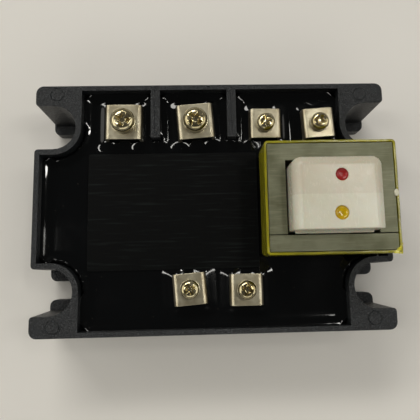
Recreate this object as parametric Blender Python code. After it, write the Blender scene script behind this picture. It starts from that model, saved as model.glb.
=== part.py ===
"""Potted solid state relay: open-topped case, six screw terminals and a transformer.

Blender 4.5, metres, +Z up.  The origin is the centre of the underside: X runs along the case,
the four-terminal side is at +Y and the two-terminal side at -Y.  Every sub-part is one object.
"""
import math

import bmesh
import bpy
from mathutils import Matrix, Vector

MM = 0.001
GAP = 0.3                     # clearance kept between neighbouring pieces
THIN_GAP = 0.2                # clearance inside a stacked screw joint

# Case (all sizes below are in millimetres)
CASE_X, CASE_Y = 105.0, 73.5
RIM_Z = 30.5                  # top of the walls
CASE_FLOOR_Z = 0.2            # the metal base stands proud of the plastic by this much
CORNER_R = 2.2
WALL = 1.5
FOOT_Z = 5.5                  # top of the mounting feet
POCKET_FLOOR_Z = 5.0          # floor of the cavity outside the base opening
NOTCH_X, NOTCH_Y = 47.15, 24.05
NOTCH_R = 6.6
NOTCH_DRAFT = 0.4             # the notch is this much narrower each side at its foot
NOTCH_EDGE_R = 1.0
RING_R = 8.25                 # cavity side of the wall round each notch
SLOT_X, SLOT_Y = 45.4, 24.2
SLOT_R = 2.9
SLOT_EDGE_R = 2.0
RIB_W = 2.75
RIB_XS = (-16.93, 6.07)
RIB_END_Y = 20.6
RIB_BASE_Z = 19.0
GROOVE_W, GROOVE_DEPTH = 0.6, 0.2

# Base, silicone gel, resin and label
BASE_X, BASE_Y, BASE_Z = 75.2, 67.2, 3.0
BASE_OPEN_X, BASE_OPEN_Y = 72.0, 65.0
GEL_Z0, GEL_Z1 = 5.5, 15.1
RESIN_Z = 26.0
LABEL_X, LABEL_Y, LABEL_Z = 50.8, 34.8, 0.3
LABEL_CENTRE = (-11.8, -1.0)

# Terminals: x, y, turn about Z in degrees, heavy duty or not
TERMINALS = (
    (-26.4, 25.4, -0.5, True),
    (-4.9, 25.4, 4.5, True),
    (16.2, 24.5, -0.3, False),
    (32.5, 24.5, 3.5, False),
    (-7.1, -24.0, 4.4, False),
    (9.2, -24.5, 0.2, False),
)
PLATE_TOP_Z = 31.0
HEAVY = {"width": 11.2, "depth": 10.6, "sheet": 1.0, "bend": 1.45, "foot": 5.1,
         "thread": 4.0, "head": 7.2, "head_h": 2.6, "shank": 5.5, "recess": 4.2,
         "collar": 6.6, "washer": 7.4, "washer_h": 0.9}
LIGHT = {"width": 9.6, "depth": 9.05, "sheet": 0.8, "bend": 1.3, "foot": 17.3,
         "thread": 3.0, "head": 5.4, "head_h": 2.0, "shank": 5.3, "recess": 3.0,
         "collar": 5.2, "washer": 5.7, "washer_h": 0.7}
COLLAR_H = 3.0                # drawn and tapped collar under each plate
SCREW_TURN_STEP = 37.0        # each screw's cross recess stands at another angle

# Transformer
CORE_X, CORE_Y = 32.14, 0.37  # centre of the lamination stack
CORE_W, CORE_D = 35.0, 29.5
CORE_Z0, CORE_Z1 = 32.4, 46.0
CORE_LIMB = 4.95
CORE_TONGUE = 9.6
WINDOW_Y0, WINDOW_Y1 = -9.73, 10.42
SEAM = 0.2
TAPE_T = 0.6
COVER_Y0, COVER_Y1 = -9.05, 10.08
COVER_W, COVER_TOP_Z, COVER_SKIRT_Z = 24.1, 55.2, 38.0
COVER_WALL, COVER_R = 0.6, 2.0
BOBBIN_Y0, BOBBIN_Y1 = -8.1, 9.15
BOBBIN_WALL, FLANGE_T = 0.9, 0.8
FLANGE_X, FLANGE_Z0, FLANGE_Z1 = 11.0, 24.5, 53.9
PIN_RAIL_Z0 = 18.2
PIN_R, PIN_Z0, PIN_Z1 = 0.45, 17.3, 19.9
PIN_X = 8.0
WINDING_X, WINDING_Z = 10.6, 14.0
MARKER_PLACES = ((33.0, 5.0), (32.5, -4.9))
MARKER_R = (1.6, 1.78)
MARKER_DEPTH, MARKER_FILL = 0.75, 0.35

# Electronics
BOARD_Z0, BOARD_Z1 = 15.4, 17.0
SUBSTRATE_Z0, SUBSTRATE_T = 3.3, 0.7
PAD_T, CHIP_T = 0.6, 0.5
ON_BOARD = BOARD_Z1 + GAP

SEGMENTS = 32                 # sides of a full circle


# ---------------------------------------------------------------- helpers

def clear_scene():
    for item in list(bpy.data.objects):
        bpy.data.objects.remove(item, do_unlink=True)


def material(name, colour, roughness, metallic=0.0):
    found = bpy.data.materials.get(name)
    if found:
        return found
    made = bpy.data.materials.new(name)
    made.use_nodes = True
    shader = made.node_tree.nodes["Principled BSDF"]
    shader.inputs["Base Color"].default_value = (*colour, 1.0)
    shader.inputs["Roughness"].default_value = roughness
    shader.inputs["Metallic"].default_value = metallic
    return made


def finish(bm, name, look, place=(0.0, 0.0, 0.0), turn=0.0, smooth=False):
    """Turn a bmesh drawn in millimetres into a placed object in metres."""
    bmesh.ops.remove_doubles(bm, verts=bm.verts, dist=1e-5)
    bmesh.ops.recalc_face_normals(bm, faces=bm.faces)
    bm.transform(Matrix.Scale(MM, 4))
    mesh = bpy.data.meshes.new(name)
    bm.to_mesh(mesh)
    bm.free()
    if look:
        mesh.materials.append(look)
    made = bpy.data.objects.new(name, mesh)
    made.location = Vector(place) * MM
    made.rotation_euler.z = math.radians(turn)
    bpy.context.scene.collection.objects.link(made)
    if smooth:
        mesh.shade_smooth()
        mesh.set_sharp_from_angle(angle=math.radians(35))
    return made


def add_prism(bm, low, high, z0, z1):
    """A closed prism between two outlines that have the same number of points."""
    bottom = [bm.verts.new((x, y, z0)) for x, y in low]
    top = [bm.verts.new((x, y, z1)) for x, y in high]
    bm.faces.new(bottom[::-1])
    bm.faces.new(top)
    count = len(bottom)
    for i in range(count):
        j = (i + 1) % count
        bm.faces.new((bottom[i], bottom[j], top[j], top[i]))


def prism(name, look, outline, z0, z1, **options):
    bm = bmesh.new()
    add_prism(bm, outline, options.pop("top", outline), z0, z1)
    return finish(bm, name, look, **options)


def add_tube_along(bm, outer, inner, start, end, axis_map):
    """A frame-shaped ring: outer and inner outlines joined between two ends."""
    loops = []
    for position in (start, end):
        for outline in (outer, inner):
            loops.append([bm.verts.new(axis_map(u, v, position)) for u, v in outline])
    outer0, inner0, outer1, inner1 = loops
    count = len(outer)
    for i in range(count):
        j = (i + 1) % count
        bm.faces.new((outer0[i], outer0[j], outer1[j], outer1[i]))
        bm.faces.new((inner0[j], inner0[i], inner1[i], inner1[j]))
        bm.faces.new((outer0[j], outer0[i], inner0[i], inner0[j]))
        bm.faces.new((outer1[i], outer1[j], inner1[j], inner1[i]))


def upright(u, v, position):
    return (u, v, position)


def lengthwise(u, v, position):
    return (u, position, v)


def arc(cx, cy, radius, start, end, steps):
    angles = [math.radians(start + (end - start) * i / steps) for i in range(steps + 1)]
    return [(cx + radius * math.cos(a), cy + radius * math.sin(a)) for a in angles]


def rounded_box_outline(width, depth, radius, centre=(0.0, 0.0), steps=4):
    cx, cy = centre
    hx, hy = width / 2 - radius, depth / 2 - radius
    points = []
    for sx, sy, start in ((1, 1, 0), (-1, 1, 90), (-1, -1, 180), (1, -1, 270)):
        points += arc(cx + sx * hx, cy + sy * hy, radius, start, start + 90, steps)
    return points


def circle_outline(radius, centre=(0.0, 0.0), segments=SEGMENTS):
    return arc(*centre, radius, 0, 360 * (1 - 1 / segments), segments - 1)


def cutter(item):
    item.hide_render = True
    item.display_type = "WIRE"
    return item


def boolean(target, tool, operation="DIFFERENCE"):
    change = target.modifiers.new(tool.name, "BOOLEAN")
    change.operation = operation
    change.solver = "EXACT"
    change.object = cutter(tool)


def cut_box(name, x0, x1, y0, y1, z0, z1):
    return prism(name, None, [(x0, y0), (x1, y0), (x1, y1), (x0, y1)], z0, z1)


def turned(name, look, profile, segments=SEGMENTS, **options):
    """Spin a closed (radius, z) profile whose first and last points lie on the axis."""
    bm = bmesh.new()
    rings = []
    for radius, z in profile:
        if radius < 1e-6:
            rings.append([bm.verts.new((0.0, 0.0, z))])
        else:
            rings.append([bm.verts.new((x, y, z)) for x, y in circle_outline(radius, segments=segments)])
    for lower, upper in zip(rings, rings[1:]):
        for i in range(segments):
            j = (i + 1) % segments
            corners = [lower[i % len(lower)], lower[j % len(lower)],
                       upper[j % len(upper)], upper[i % len(upper)]]
            bm.faces.new(list(dict.fromkeys(corners)))
    return finish(bm, name, look, smooth=True, **options)


# ---------------------------------------------------------------- case

def cavity_outline(inset=0.0):
    """Inside of the case: it narrows to pass the four rings round the mounting notches."""
    side_x, end_y = CASE_X / 2 - WALL - inset, CASE_Y / 2 - WALL - inset
    radius = RING_R + inset
    quadrant = [(side_x, NOTCH_Y - radius)]
    quadrant += arc(NOTCH_X, NOTCH_Y, radius, 270, 180, 8)
    quadrant += [(NOTCH_X - radius, end_y)]
    points = []
    for sx, sy in ((1, 1), (-1, 1), (-1, -1), (1, -1)):
        part = [(sx * x, sy * y) for x, y in quadrant]
        points += part if sx == sy else part[::-1]
    return points


def notch_outline(sx, sy, radius):
    """Open-ended notch in the side wall, with its two outer edges rounded."""
    side = CASE_X / 2
    edge = NOTCH_EDGE_R
    beyond = side + 3.0
    points = [(beyond, NOTCH_Y + radius + edge)]
    points += arc(side - edge, NOTCH_Y + radius + edge, edge, 0, -90, 3)
    points += arc(NOTCH_X, NOTCH_Y, radius, 90, 270, 14)
    points += arc(side - edge, NOTCH_Y - radius - edge, edge, 90, 0, 3)
    points += [(beyond, NOTCH_Y - radius - edge)]
    return [(sx * x, sy * y) for x, y in points]


def slot_outline(sx, sy):
    """Open-ended screw slot through the foot, with its mouth rounded."""
    side = CASE_X / 2
    edge = SLOT_EDGE_R
    beyond = side + 3.0
    points = [(beyond, SLOT_Y + SLOT_R + edge)]
    points += arc(side - edge, SLOT_Y + SLOT_R + edge, edge, 0, -90, 4)
    points += arc(SLOT_X, SLOT_Y, SLOT_R, 90, 270, 10)
    points += arc(side - edge, SLOT_Y - SLOT_R - edge, edge, 90, 0, 4)
    points += [(beyond, SLOT_Y - SLOT_R - edge)]
    return [(sx * x, sy * y) for x, y in points]


def make_housing():
    plastic = material("case_plastic", (0.035, 0.037, 0.038), 0.5)
    outline = rounded_box_outline(CASE_X, CASE_Y, CORNER_R, steps=5)
    housing = prism("housing", plastic, outline, CASE_FLOOR_Z, RIM_Z)
    boolean(housing, prism("cut_cavity", None, cavity_outline(), POCKET_FLOOR_Z, RIM_Z + 2))
    ledge_x, ledge_y = BASE_X / 2 + GAP, BASE_Y / 2 + GAP
    boolean(housing, cut_box("cut_rebate", -ledge_x, ledge_x, -ledge_y, ledge_y, -1, BASE_Z + GAP))
    boolean(housing, cut_box("cut_opening", -BASE_OPEN_X / 2, BASE_OPEN_X / 2,
                             -BASE_OPEN_Y / 2, BASE_OPEN_Y / 2, 1, POCKET_FLOOR_Z + 1))
    for sx in (-1, 1):
        for sy in (-1, 1):
            tag = f"{'left' if sx < 0 else 'right'}_{'front' if sy < 0 else 'back'}"
            boolean(housing, prism(f"cut_notch_{tag}", None,
                                   notch_outline(sx, sy, NOTCH_R - NOTCH_DRAFT), FOOT_Z, RIM_Z + 1,
                                   top=notch_outline(sx, sy, NOTCH_R)))
            boolean(housing, prism(f"cut_slot_{tag}", None, slot_outline(sx, sy), -1, FOOT_Z + 1))
    for number, x in enumerate(RIB_XS, 1):
        boolean(housing, rib(f"rib_{number}", x, 0.0, CASE_Y / 2 - WALL / 2, RIM_Z), "UNION")
        groove = cut_box(f"cut_groove_{number}", x - GROOVE_W / 2, x + GROOVE_W / 2,
                         RIB_END_Y + 1, CASE_Y / 2 - WALL, RIM_Z - GROOVE_DEPTH, RIM_Z + 1)
        boolean(housing, groove)
    return housing


def rib(name, x, grow, far_y, top_z):
    """One partition between two terminals, or its clearance when grown."""
    half = RIB_W / 2 + grow
    return cut_box(name, x - half, x + half, RIB_END_Y - grow, far_y, RIB_BASE_Z - grow, top_z)


def make_base_plate():
    metal = material("bare_aluminium", (0.72, 0.73, 0.74), 0.35, 1.0)
    plate = prism("base_plate", metal, rounded_box_outline(BASE_X, BASE_Y, 1.5), 0.0, BASE_Z)
    return plate


# ---------------------------------------------------------------- terminals

def size_of(heavy):
    return HEAVY if heavy else LIGHT


def bracket_profile(size, grow=0.0):
    """Side view (x, z) of the bent strip: plate on top, a leg down each side."""
    half = size["width"] / 2 + grow
    inner = size["width"] / 2 - size["sheet"] - grow
    bend = size["bend"] + grow
    top = PLATE_TOP_Z + grow
    under = PLATE_TOP_Z - size["sheet"] - grow
    foot = size["foot"] - grow
    inner_bend = 0.3
    outer = [(half, foot)] + arc(half - bend, top - bend, bend, 0, 90, 4)
    outer += arc(-half + bend, top - bend, bend, 90, 180, 4) + [(-half, foot)]
    inside = [(-inner, foot)] + arc(-inner + inner_bend, under - inner_bend, inner_bend, 180, 90, 2)
    inside += arc(inner - inner_bend, under - inner_bend, inner_bend, 90, 0, 2) + [(inner, foot)]
    return outer + inside


def strip(name, look, profile, y0, y1, **options):
    """A flat (x, z) profile pushed along Y."""
    bm = bmesh.new()
    add_prism(bm, profile, profile, -y1, -y0)
    bm.transform(Matrix.Rotation(math.radians(90), 4, "X"))
    return finish(bm, name, look, **options)


def make_bracket(number, x, y, turn, heavy):
    nickel = material("nickel_plate", (0.62, 0.58, 0.50), 0.28, 1.0)
    size = size_of(heavy)
    half_y = size["depth"] / 2
    place = {"place": (x, y, 0.0), "turn": turn}
    name = f"terminal_bracket_{number}"
    bracket = strip(name, nickel, bracket_profile(size), -half_y, half_y, **place)
    collar_top = PLATE_TOP_Z - size["sheet"] / 2
    collar = turned(f"collar_{number}", None,
                    [(0, collar_top - COLLAR_H), (size["collar"] / 2, collar_top - COLLAR_H),
                     (size["collar"] / 2, collar_top), (0, collar_top)], 24, **place)
    boolean(bracket, collar, "UNION")
    hole_r = size["thread"] / 2 + GAP
    hole = turned(f"cut_screw_hole_{number}", None,
                  [(0, 20), (hole_r, 20), (hole_r, PLATE_TOP_Z + 1), (0, PLATE_TOP_Z + 1)], 24, **place)
    boolean(bracket, hole)
    return bracket


def bracket_clearance(number, x, y, turn, heavy):
    """Solid block round a terminal's legs, cut out of the resin and the gel."""
    size = size_of(heavy)
    grown = [bracket_profile(size, GAP)[i] for i in (0, -1)]
    legs = []
    for side in (-1, 1):
        low, high = sorted((side * grown[0][0], side * grown[1][0]))
        half_y = size["depth"] / 2 + GAP
        outline = [(low, -half_y), (high, -half_y), (high, half_y), (low, half_y)]
        tag = "left" if side < 0 else "right"
        legs.append(prism(f"cut_leg_{number}_{tag}", None, outline, size["foot"] - 2, RESIN_Z + 1,
                          place=(x, y, 0.0), turn=turn))
    return legs


def make_washer(number, x, y, turn, heavy):
    """Split spring washer, whose ends part by a small slanted gap."""
    steel = material("spring_steel", (0.55, 0.54, 0.50), 0.35, 1.0)
    size = size_of(heavy)
    z0 = PLATE_TOP_Z + THIN_GAP
    inner = size["thread"] / 2 + GAP
    steps = 26
    start, end = 8.0, 352.0
    outline = arc(0, 0, size["washer"] / 2, start, end, steps)
    outline += arc(0, 0, inner, end, start, steps)
    washer = prism(f"spring_washer_{number}", steel, outline, z0, z0 + size["washer_h"],
                   place=(x, y, 0.0), turn=turn + 115.0 * number)
    move_origin(washer, (x, y, z0))
    return washer


def move_origin(item, point):
    """Put an object's origin on its joint's axis without moving its mesh."""
    shift = Vector(point) * MM - item.location
    turned_back = item.rotation_euler.to_matrix().inverted() @ shift
    item.data.transform(Matrix.Translation(-turned_back))
    item.location = Vector(point) * MM


def head_profile(size, base):
    """Pan head with a rounded shoulder over a plain threaded shank."""
    radius, height, thread = size["head"] / 2, size["head_h"], size["thread"] / 2
    shoulder = height * 0.62
    crown = radius * 0.62
    profile = [(0, base - size["shank"]), (thread * 0.7, base - size["shank"])]
    profile += [(thread, base - size["shank"] + thread * 0.5), (thread, base), (radius, base)]
    for step in range(5):
        angle = math.radians(90 * step / 4)
        reach = crown + (radius - crown) * math.cos(angle)
        profile.append((reach, base + height - shoulder + shoulder * math.sin(angle) * 0.92))
    profile.append((0, base + height))
    return profile


def make_screw(number, x, y, turn, heavy):
    steel = material("screw_steel", (0.66, 0.63, 0.55), 0.22, 1.0)
    size = size_of(heavy)
    base = PLATE_TOP_Z + 2 * THIN_GAP + size["washer_h"]
    place = {"place": (x, y, 0.0), "turn": turn + SCREW_TURN_STEP * number}
    screw = turned(f"terminal_screw_{number}", steel, head_profile(size, base), 24, **place)
    depth = size["head_h"] * 0.62
    for arm, angle in (("across", 0.0), ("along", 90.0)):
        half, wide = size["recess"] / 2, size["recess"] * 0.13
        low = [(-half * 0.45, -wide * 0.7), (half * 0.45, -wide * 0.7),
               (half * 0.45, wide * 0.7), (-half * 0.45, wide * 0.7)]
        high = [(-half, -wide), (half, -wide), (half, wide), (-half, wide)]
        top = base + size["head_h"]
        recess = prism(f"cut_recess_{number}_{arm}", None, low, top - depth, top + 0.3, top=high,
                       place=place["place"], turn=place["turn"] + angle)
        boolean(screw, recess)
    for part in [screw] + [mod.object for mod in screw.modifiers]:
        move_origin(part, (x, y, base))
    return screw


def make_terminals():
    for number, (x, y, turn, heavy) in enumerate(TERMINALS, 1):
        make_bracket(number, x, y, turn, heavy)
        make_washer(number, x, y, turn, heavy)
        make_screw(number, x, y, turn, heavy)


# ---------------------------------------------------------------- transformer

def core_xy(points):
    return [(CORE_X + x, y) for x, y in points]


def make_core():
    steel = material("silicon_steel", (0.42, 0.43, 0.38), 0.45, 1.0)
    half, tongue = CORE_W / 2, CORE_TONGUE / 2
    limb = half - CORE_LIMB
    top, bottom = CORE_Y + CORE_D / 2, CORE_Y - CORE_D / 2
    split = WINDOW_Y0
    e_outline = [(-half, split), (-limb, split), (-limb, WINDOW_Y1), (-tongue, WINDOW_Y1),
                 (-tongue, split), (tongue, split), (tongue, WINDOW_Y1), (limb, WINDOW_Y1),
                 (limb, split), (half, split), (half, top), (-half, top)]
    i_outline = [(-half, bottom), (half, bottom), (half, split - SEAM), (-half, split - SEAM)]
    prism("transformer_core_e", steel, core_xy(e_outline), CORE_Z0, CORE_Z1)
    prism("transformer_core_i", steel, core_xy(i_outline), CORE_Z0, CORE_Z1)


def make_core_tape():
    yellow = material("yellow_tape", (0.62, 0.52, 0.02), 0.4)
    grow = 2 * THIN_GAP
    inner = rounded_box_outline(CORE_W + grow, CORE_D + grow, 0.3, (CORE_X, CORE_Y), 3)
    grow += 2 * TAPE_T
    outer = rounded_box_outline(CORE_W + grow, CORE_D + grow, 0.7, (CORE_X, CORE_Y), 3)
    bm = bmesh.new()
    add_tube_along(bm, outer, inner, CORE_Z0 - 0.1, CORE_Z1 + 0.25, upright)
    finish(bm, "core_tape", yellow)


def centred(outline, z):
    return [(CORE_X + x, z + y) for x, y in outline]


def make_bobbin():
    nylon = material("white_nylon", (0.70, 0.67, 0.52), 0.45)
    middle = (CORE_Z0 + CORE_Z1) / 2
    hole_x, hole_z = CORE_TONGUE + 2 * GAP, CORE_Z1 - CORE_Z0 + 2 * GAP
    tube_x, tube_z = hole_x + 2 * BOBBIN_WALL, hole_z + 2 * BOBBIN_WALL
    bm = bmesh.new()
    add_tube_along(bm, centred(rounded_box_outline(tube_x, tube_z, 0.4, steps=1), middle),
                   centred(rounded_box_outline(hole_x, hole_z, 0.1, steps=1), middle),
                   BOBBIN_Y0, BOBBIN_Y1, lengthwise)
    bobbin = finish(bm, "bobbin", nylon)
    stations = (BOBBIN_Y0, (BOBBIN_Y0 + BOBBIN_Y1 - FLANGE_T) / 2, BOBBIN_Y1 - FLANGE_T)
    for number, y in enumerate(stations, 1):
        flange = cut_box(f"flange_{number}", CORE_X - FLANGE_X, CORE_X + FLANGE_X,
                         y, y + FLANGE_T, FLANGE_Z0, FLANGE_Z1)
        boolean(bobbin, flange, "UNION")
    for name, y0, y1 in (("front", BOBBIN_Y0, BOBBIN_Y0 + 3.0), ("back", BOBBIN_Y1 - 3.0, BOBBIN_Y1)):
        rail = cut_box(f"pin_rail_{name}", CORE_X - FLANGE_X, CORE_X + FLANGE_X,
                       y0, y1, PIN_RAIL_Z0, FLANGE_Z0 + 0.4)
        boolean(bobbin, rail, "UNION")
    opening = cut_box("cut_tongue", CORE_X - hole_x / 2, CORE_X + hole_x / 2, BOBBIN_Y0 - 1,
                      BOBBIN_Y1 + 1, middle - hole_z / 2, middle + hole_z / 2)
    boolean(bobbin, opening)
    for number, (x, y) in enumerate(pin_places(), 1):
        socket_r = PIN_R + GAP
        socket = turned(f"cut_pin_socket_{number}", None,
                        [(0, 17), (socket_r, 17), (socket_r, PIN_Z1 + 0.2), (0, PIN_Z1 + 0.2)], 12,
                        place=(x, y, 0.0))
        boolean(bobbin, socket)
    return bobbin


def pin_places():
    rows = (BOBBIN_Y0 + 1.5, BOBBIN_Y1 - 1.5)
    return [(CORE_X + side * PIN_X, y) for y in rows for side in (-1, 1)]


def make_pins():
    tinned = material("tinned_copper", (0.70, 0.68, 0.62), 0.3, 1.0)
    for number, (x, y) in enumerate(pin_places(), 1):
        turned(f"transformer_pin_{number}", tinned,
               [(0, PIN_Z0), (PIN_R, PIN_Z0), (PIN_R, PIN_Z1), (0, PIN_Z1)], 12, place=(x, y, 0.0))


def make_windings():
    copper = material("enamelled_copper", (0.45, 0.16, 0.06), 0.4, 1.0)
    middle = (CORE_Z0 + CORE_Z1) / 2
    tube_x = CORE_TONGUE + 2 * GAP + 2 * BOBBIN_WALL + 2 * GAP
    tube_z = CORE_Z1 - CORE_Z0 + 2 * GAP + 2 * BOBBIN_WALL + 2 * GAP
    divider = (BOBBIN_Y0 + BOBBIN_Y1) / 2
    spans = (("primary_winding", BOBBIN_Y0 + FLANGE_T + GAP, divider - FLANGE_T / 2 - GAP),
             ("secondary_winding", divider + FLANGE_T / 2 + GAP, BOBBIN_Y1 - FLANGE_T - GAP))
    for name, y0, y1 in spans:
        bm = bmesh.new()
        outer = centred(rounded_box_outline(2 * WINDING_X, 2 * WINDING_Z, 3.5, steps=5), middle)
        inner = centred(rounded_box_outline(tube_x, tube_z, 0.4, steps=5), middle)
        add_tube_along(bm, outer, inner, y0, y1, lengthwise)
        finish(bm, name, copper, smooth=True)


def cover_box(name, look, x_half, y0, y1, z0, z1, radius):
    """Box with rounded upright edges and a rounded top edge."""
    centre = (CORE_X, (y0 + y1) / 2)
    bm = bmesh.new()
    levels = [(z0, 0.0)]
    for step in range(4):
        angle = math.radians(90 * step / 3)
        levels.append((z1 - radius + radius * math.sin(angle), radius * (1 - math.cos(angle))))
    rings = []
    for z, inset in levels:
        corner = max(radius - inset, 0.05)
        outline = rounded_box_outline(2 * (x_half - inset), y1 - y0 - 2 * inset, corner, centre, 4)
        rings.append([bm.verts.new((x, y, z)) for x, y in outline])
    bm.faces.new(rings[0][::-1])
    bm.faces.new(rings[-1])
    count = len(rings[0])
    for lower, upper in zip(rings, rings[1:]):
        for i in range(count):
            j = (i + 1) % count
            bm.faces.new((lower[i], lower[j], upper[j], upper[i]))
    return finish(bm, name, look, smooth=True)


def make_bobbin_cover():
    ivory = material("ivory_nylon", (0.72, 0.69, 0.54), 0.35)
    half = COVER_W / 2
    cover = cover_box("bobbin_cover", ivory, half, COVER_Y0, COVER_Y1, COVER_SKIRT_Z,
                      COVER_TOP_Z, COVER_R)
    hollow = cover_box("cut_hollow", None, half - COVER_WALL, COVER_Y0 + COVER_WALL,
                       COVER_Y1 - COVER_WALL, COVER_SKIRT_Z - 1, FLANGE_Z1 + 0.2, 0.6)
    boolean(cover, hollow)
    ends = cut_box("cut_cover_ends", CORE_X - CORE_TONGUE / 2 - GAP, CORE_X + CORE_TONGUE / 2 + GAP,
                   COVER_Y0 - 1, COVER_Y1 + 1, COVER_SKIRT_Z - 1, CORE_Z1 + GAP)
    boolean(cover, ends)
    for tag, (x, y), radius in zip(("red", "yellow"), MARKER_PLACES, MARKER_R):
        dimple_r = radius + 0.12
        dimple = turned(f"cut_dimple_{tag}", None,
                        [(0, COVER_TOP_Z - MARKER_DEPTH), (dimple_r, COVER_TOP_Z - MARKER_DEPTH),
                         (dimple_r, COVER_TOP_Z + 1), (0, COVER_TOP_Z + 1)], place=(x, y, 0.0))
        boolean(cover, dimple)
    return cover


def make_markers():
    looks = (("red_marker", (0.30, 0.006, 0.004), 0.35), ("yellow_marker", (0.55, 0.40, 0.01), 0.15))
    floor = COVER_TOP_Z - MARKER_DEPTH + 0.12
    for (name, colour, roughness), (x, y), radius in zip(looks, MARKER_PLACES, MARKER_R):
        turned(name, material(f"{name}_resin", colour, roughness),
               [(0, floor), (radius, floor), (radius, floor + MARKER_FILL + 0.1),
                (radius * 0.6, floor + MARKER_FILL), (0, floor + MARKER_FILL - 0.05)],
               place=(x, y, 0.0))


# ---------------------------------------------------------------- electronics

BOARD_LEFT, BOARD_RIGHT, BOARD_TAB_RIGHT = -37.6, 37.9, 47.5
BOARD_FRONT, BOARD_TAB_HALF, BOARD_BACK = -33.6, 14.4, 31.0
BOARD_STEP_X, BOARD_STEP_Y = 9.2, 16.5


def board_outline(grow=0.0):
    """The board leaves the back left corner free for the two heavy terminals."""
    left, right, tab = BOARD_LEFT - grow, BOARD_RIGHT + grow, BOARD_TAB_RIGHT + grow
    front, half, back = BOARD_FRONT - grow, BOARD_TAB_HALF + grow, BOARD_BACK + grow
    step_x, step_y = BOARD_STEP_X - grow, BOARD_STEP_Y + grow
    return [(left, front), (right, front), (right, -half), (tab, -half), (tab, half),
            (right, half), (right, back), (step_x, back), (step_x, step_y), (left, step_y)]


def make_board():
    laminate = material("green_laminate", (0.02, 0.14, 0.06), 0.5)
    prism("circuit_board", laminate, board_outline(), BOARD_Z0, BOARD_Z1)


def block(name, look, centre, size, z0):
    """Plain rectangular component standing at height z0."""
    (cx, cy), (sx, sy, sz) = centre, size
    outline = [(cx - sx / 2, cy - sy / 2), (cx + sx / 2, cy - sy / 2),
               (cx + sx / 2, cy + sy / 2), (cx - sx / 2, cy + sy / 2)]
    return prism(name, look, outline, z0, z0 + sz)


SUBSTRATE_CENTRE = (-15.2, 18.9)
PAD_XS = {"copper_pad_line": (-24.4, 15.6), "copper_pad_load": (-6.0, 15.6)}
CHIP_SIZE = 9.0
CHIP_Y = 12.6


def make_power_stage():
    ceramic = material("alumina", (0.82, 0.80, 0.76), 0.5)
    copper = material("bare_copper", (0.72, 0.36, 0.20), 0.35, 1.0)
    silicon = material("thyristor_silicon", (0.16, 0.17, 0.20), 0.3, 0.6)
    block("ceramic_substrate", ceramic, SUBSTRATE_CENTRE, (36.4, 25.4, SUBSTRATE_T), SUBSTRATE_Z0)
    pad_z = SUBSTRATE_Z0 + SUBSTRATE_T + THIN_GAP
    chip_z = pad_z + PAD_T + THIN_GAP
    for index, (name, (x, width)) in enumerate(PAD_XS.items(), 1):
        block(name, copper, (x, SUBSTRATE_CENTRE[1]), (width, 24.0, PAD_T), pad_z)
        block(f"thyristor_chip_{index}", silicon, (x, CHIP_Y), (CHIP_SIZE, CHIP_SIZE, CHIP_T), chip_z)
    clip_z = chip_z + CHIP_T + THIN_GAP
    for index, (start, end, y) in enumerate(((-24.0, -12.3, 14.4), (-6.4, -18.1, 10.0)), 1):
        profile = clip_profile(start, end, clip_z, pad_z + PAD_T + THIN_GAP)
        strip(f"thyristor_clip_{index}", copper, profile, y - 1.6, y + 1.6)


def clip_profile(start, end, chip_z, pad_z):
    """Bridge strip (x, z) that steps from a chip's top down to the other pad."""
    side = 1 if end > start else -1
    thick, rise = 0.6, 2.2
    top = chip_z + rise
    knee, ankle = start + side * 2.5, end - side * 1.6
    lower = [(start, chip_z), (knee, chip_z), (knee + side * 1.2, top - thick),
             (ankle - side * 1.2, top - thick), (ankle, pad_z), (end, pad_z)]
    upper = [(end, pad_z + thick), (ankle + side * 0.5, pad_z + thick), (ankle - side * 0.7, top),
             (knee + side * 0.7, top), (knee - side * 0.5, chip_z + thick), (start, chip_z + thick)]
    return lower + upper


BLOCK_PARTS = {
    "optocoupler": ((-28.0, 9.0), (8.6, 6.4, 3.6)),
    "control_chip": ((-9.0, 6.0), (10.0, 6.4, 3.4)),
    "bridge_rectifier": ((5.0, -4.0), (8.4, 6.4, 3.2)),
    "snubber_capacitor": ((-28.0, -6.0), (13.0, 5.0, 6.5)),
    "logic_driver": ((-24.0, -27.0), (9.6, 6.4, 3.4)),
}
UPRIGHT_PARTS = {"filter_capacitor": ((8.0, 9.0), 3.15, 6.9), "varistor": ((-12.0, -8.0), 4.6, 3.4)}
LYING_PARTS = {"snubber_resistor": ((-27.0, -15.0), 2.0, 12.0), "bleed_resistor": ((-4.0, -15.5), 1.3, 6.6),
               "sense_resistor": ((22.0, -24.0), 1.3, 6.6)}
PART_LOOKS = {
    "filter_capacitor": ("capacitor_sleeve", (0.03, 0.05, 0.16), 0.35),
    "snubber_capacitor": ("film_capacitor_case", (0.45, 0.30, 0.06), 0.45),
    "varistor": ("varistor_coating", (0.05, 0.14, 0.38), 0.45),
    "snubber_resistor": ("resistor_coating", (0.20, 0.26, 0.24), 0.55),
    "bleed_resistor": ("film_resistor_coating", (0.42, 0.34, 0.22), 0.5),
    "sense_resistor": ("film_resistor_coating", (0.42, 0.34, 0.22), 0.5),
}


def part_look(name):
    label, colour, roughness = PART_LOOKS.get(name, ("chip_plastic", (0.03, 0.03, 0.032), 0.45))
    return material(label, colour, roughness)


def make_board_parts():
    for name, (centre, size) in BLOCK_PARTS.items():
        block(name, part_look(name), centre, size, ON_BOARD)
    for name, ((x, y), radius, height) in UPRIGHT_PARTS.items():
        turned(name, part_look(name), [(0, 0), (radius, 0), (radius, height), (0, height)], 20,
               place=(x, y, ON_BOARD))
    for name, ((x, y), radius, length) in LYING_PARTS.items():
        outline = centred_circle(x, y, radius)
        strip(name, part_look(name), outline, y - length / 2, y + length / 2, smooth=True)


def centred_circle(x, y, radius):
    return [(x + u, ON_BOARD + radius + v) for u, v in circle_outline(radius, segments=16)]


# ---------------------------------------------------------------- fillings

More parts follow.
